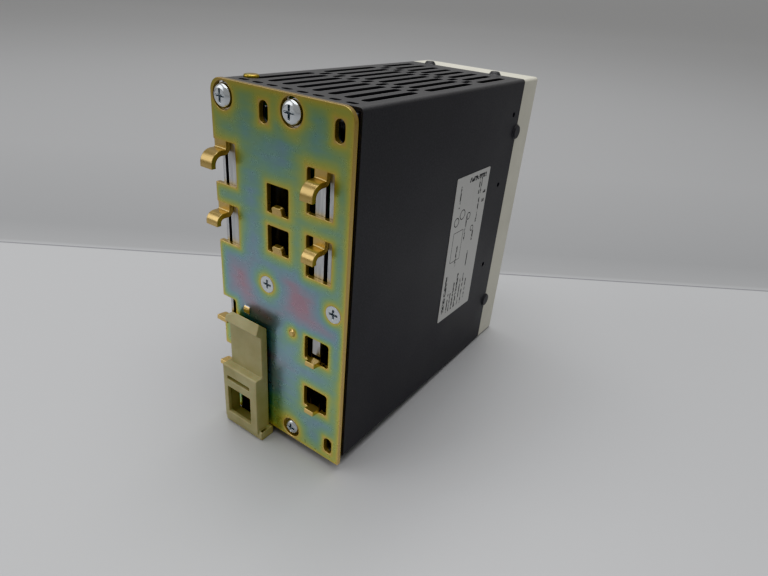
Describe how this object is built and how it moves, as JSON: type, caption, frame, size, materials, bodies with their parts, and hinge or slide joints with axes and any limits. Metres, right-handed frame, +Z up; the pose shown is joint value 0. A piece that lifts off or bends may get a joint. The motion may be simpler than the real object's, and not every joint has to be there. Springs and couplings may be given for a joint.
{
  "type": "din rail power supply",
  "caption": "Slim boxed power supply with a hooked zinc rail plate and sliding plastic latch at the rear, vented black housing and pale front cover.",
  "frame": {"origin": "middle of the bounding box, on its lowest level, the foot of the open rail latch", "axes": "+X to the right seen from the front, +Y towards the mounting rail, +Z up as mounted"},
  "size_m": [0.065, 0.1516, 0.1477],
  "materials": {
    "zinc_plate": "yellow zinc chromate, semi-gloss",
    "latch_plastic": "moulded nylon, matt",
    "bright_screws": "bright zinc plated",
    "yellow_screws": "yellow zinc plated",
    "bare_aluminium": "mill finish",
    "black_sheet": "powder coat, satin",
    "cover_plastic": "moulded ABS, fine texture",
    "clear_plastic": "clear polycarbonate, glossy",
    "label": null,
    "marker_white": "plain white marker, satin",
    "terminal_plastic": "moulded polyamide, green",
    "terminal_metal": "tinned steel",
    "board_laminate": "glass-epoxy laminate, green solder mask",
    "liner_film": "insulating film",
    "capacitor_sleeve": "shrink sleeve",
    "ferrite": "sintered ferrite, matt",
    "winding_tape": "polyester tape over enamelled wire",
    "copper_wire": "enamelled copper wire",
    "film_capacitor": "potted film capacitor case",
    "black_package": "moulded epoxy package",
    "relay_case": "moulded relay case",
    "control_plastic": "moulded control body",
    "lever_plastic": "moulded lever and knob",
    "lamp": "clear green lamp"
  },
  "bodies": {
    "case": {"rear_plate": "zinc_plate", "plate_screws": "bright_screws", "countersunk_screws": "bright_screws", "chassis": "bare_aluminium", "housing_shell": "black_sheet", "housing_screws": "yellow_screws", "rating_label": "label", "front_cover": "cover_plastic", "marker_plate": "marker_white", "output_terminal_block": "terminal_plastic", "input_terminal_block": "terminal_plastic", "front_board": "board_laminate", "status_leds": "lamp", "light_pipes": "clear_plastic", "trimmer_body": "control_plastic", "switch_body": "control_plastic", "insulating_sheet": "liner_film", "main_board": "board_laminate", "board_studs": "yellow_screws", "board_screws": "bright_screws", "board_connector": "black_package", "bulk_capacitors": "capacitor_sleeve", "output_capacitors": "capacitor_sleeve", "buffer_capacitor": "capacitor_sleeve", "transformer_core": "ferrite", "transformer_winding": "winding_tape", "primary_heatsink": "bare_aluminium", "power_transistors": "black_package", "secondary_heatsink": "bare_aluminium", "rectifier_diodes": "black_package", "output_choke_core": "ferrite", "output_choke_winding": "copper_wire", "mains_filter_choke": "winding_tape", "filter_capacitor": "film_capacitor", "bridge_rectifier": "black_package", "mains_fuse": "marker_white", "inrush_relay": "relay_case", "inrush_thermistor": "black_package", "control_board": "board_laminate"},
    "rail_latch": {"rail_latch": "latch_plastic"},
    "cover_flap": {"cover_flap": "clear_plastic"},
    "trimmer_knob": {"trimmer_knob": "lever_plastic"},
    "switch_lever": {"switch_lever": "lever_plastic"},
    "output_screw_1": {"output_screw_1": "terminal_metal"},
    "output_jaw_1": {"output_jaw_1": "terminal_metal"},
    "output_screw_2": {"output_screw_2": "terminal_metal"},
    "output_jaw_2": {"output_jaw_2": "terminal_metal"},
    "output_screw_3": {"output_screw_3": "terminal_metal"},
    "output_jaw_3": {"output_jaw_3": "terminal_metal"},
    "output_screw_4": {"output_screw_4": "terminal_metal"},
    "output_jaw_4": {"output_jaw_4": "terminal_metal"},
    "input_screw_1": {"input_screw_1": "terminal_metal"},
    "input_jaw_1": {"input_jaw_1": "terminal_metal"},
    "input_screw_2": {"input_screw_2": "terminal_metal"},
    "input_jaw_2": {"input_jaw_2": "terminal_metal"},
    "input_screw_3": {"input_screw_3": "terminal_metal"},
    "input_jaw_3": {"input_jaw_3": "terminal_metal"}
  },
  "joints": [
    {"name": "latch_slide", "type": "slide", "parent": "case", "child": "rail_latch", "axis": [0, 0, 1], "range_m": [0, 0.004]},
    {"name": "flap_hinge", "type": "hinge", "parent": "case", "child": "cover_flap", "pos_m": [-0.0234, -0.07475, 0.086], "axis": [0, 0, -1], "range_deg": [0, 110]},
    {"name": "trimmer_turn", "type": "hinge", "parent": "case", "child": "trimmer_knob", "pos_m": [-0.012, -0.06575, 0.088], "axis": [0, 1, 0], "range_deg": [-135, 135]},
    {"name": "mode_switch_slide", "type": "slide", "parent": "case", "child": "switch_lever", "axis": [1, 0, 0], "range_m": [0, 0.003]},
    {"name": "output_screw_1_turn", "type": "hinge", "parent": "case", "child": "output_screw_1", "pos_m": [-0.0165, -0.06675, 0.134], "axis": [0, 1, 0], "range_deg": [0, 1080]},
    {"name": "output_jaw_1_slide", "type": "slide", "parent": "case", "child": "output_jaw_1", "axis": [0, 0, -1], "range_m": [0, 0.0021]},
    {"name": "output_screw_2_turn", "type": "hinge", "parent": "case", "child": "output_screw_2", "pos_m": [-0.0055, -0.06675, 0.134], "axis": [0, 1, 0], "range_deg": [0, 1080]},
    {"name": "output_jaw_2_slide", "type": "slide", "parent": "case", "child": "output_jaw_2", "axis": [0, 0, -1], "range_m": [0, 0.0021]},
    {"name": "output_screw_3_turn", "type": "hinge", "parent": "case", "child": "output_screw_3", "pos_m": [0.0055, -0.06675, 0.134], "axis": [0, 1, 0], "range_deg": [0, 1080]},
    {"name": "output_jaw_3_slide", "type": "slide", "parent": "case", "child": "output_jaw_3", "axis": [0, 0, -1], "range_m": [0, 0.0021]},
    {"name": "output_screw_4_turn", "type": "hinge", "parent": "case", "child": "output_screw_4", "pos_m": [0.0165, -0.06675, 0.134], "axis": [0, 1, 0], "range_deg": [0, 1080]},
    {"name": "output_jaw_4_slide", "type": "slide", "parent": "case", "child": "output_jaw_4", "axis": [0, 0, -1], "range_m": [0, 0.0021]},
    {"name": "input_screw_1_turn", "type": "hinge", "parent": "case", "child": "input_screw_1", "pos_m": [-0.011, -0.06675, 0.03], "axis": [0, 1, 0], "range_deg": [0, 1080]},
    {"name": "input_jaw_1_slide", "type": "slide", "parent": "case", "child": "input_jaw_1", "axis": [0, 0, -1], "range_m": [0, 0.0021]},
    {"name": "input_screw_2_turn", "type": "hinge", "parent": "case", "child": "input_screw_2", "pos_m": [0, -0.06675, 0.03], "axis": [0, 1, 0], "range_deg": [0, 1080]},
    {"name": "input_jaw_2_slide", "type": "slide", "parent": "case", "child": "input_jaw_2", "axis": [0, 0, -1], "range_m": [0, 0.0021]},
    {"name": "input_screw_3_turn", "type": "hinge", "parent": "case", "child": "input_screw_3", "pos_m": [0.011, -0.06675, 0.03], "axis": [0, 1, 0], "range_deg": [0, 1080]},
    {"name": "input_jaw_3_slide", "type": "slide", "parent": "case", "child": "input_jaw_3", "axis": [0, 0, -1], "range_m": [0, 0.0021]}
  ],
  "couplings": [
    {"joint": "output_screw_1_turn", "follows": "output_jaw_1_slide", "rad_per_m": 8976},
    {"joint": "output_screw_2_turn", "follows": "output_jaw_2_slide", "rad_per_m": 8976},
    {"joint": "output_screw_3_turn", "follows": "output_jaw_3_slide", "rad_per_m": 8976},
    {"joint": "output_screw_4_turn", "follows": "output_jaw_4_slide", "rad_per_m": 8976},
    {"joint": "input_screw_1_turn", "follows": "input_jaw_1_slide", "rad_per_m": 8976},
    {"joint": "input_screw_2_turn", "follows": "input_jaw_2_slide", "rad_per_m": 8976},
    {"joint": "input_screw_3_turn", "follows": "input_jaw_3_slide", "rad_per_m": 8976}
  ]
}
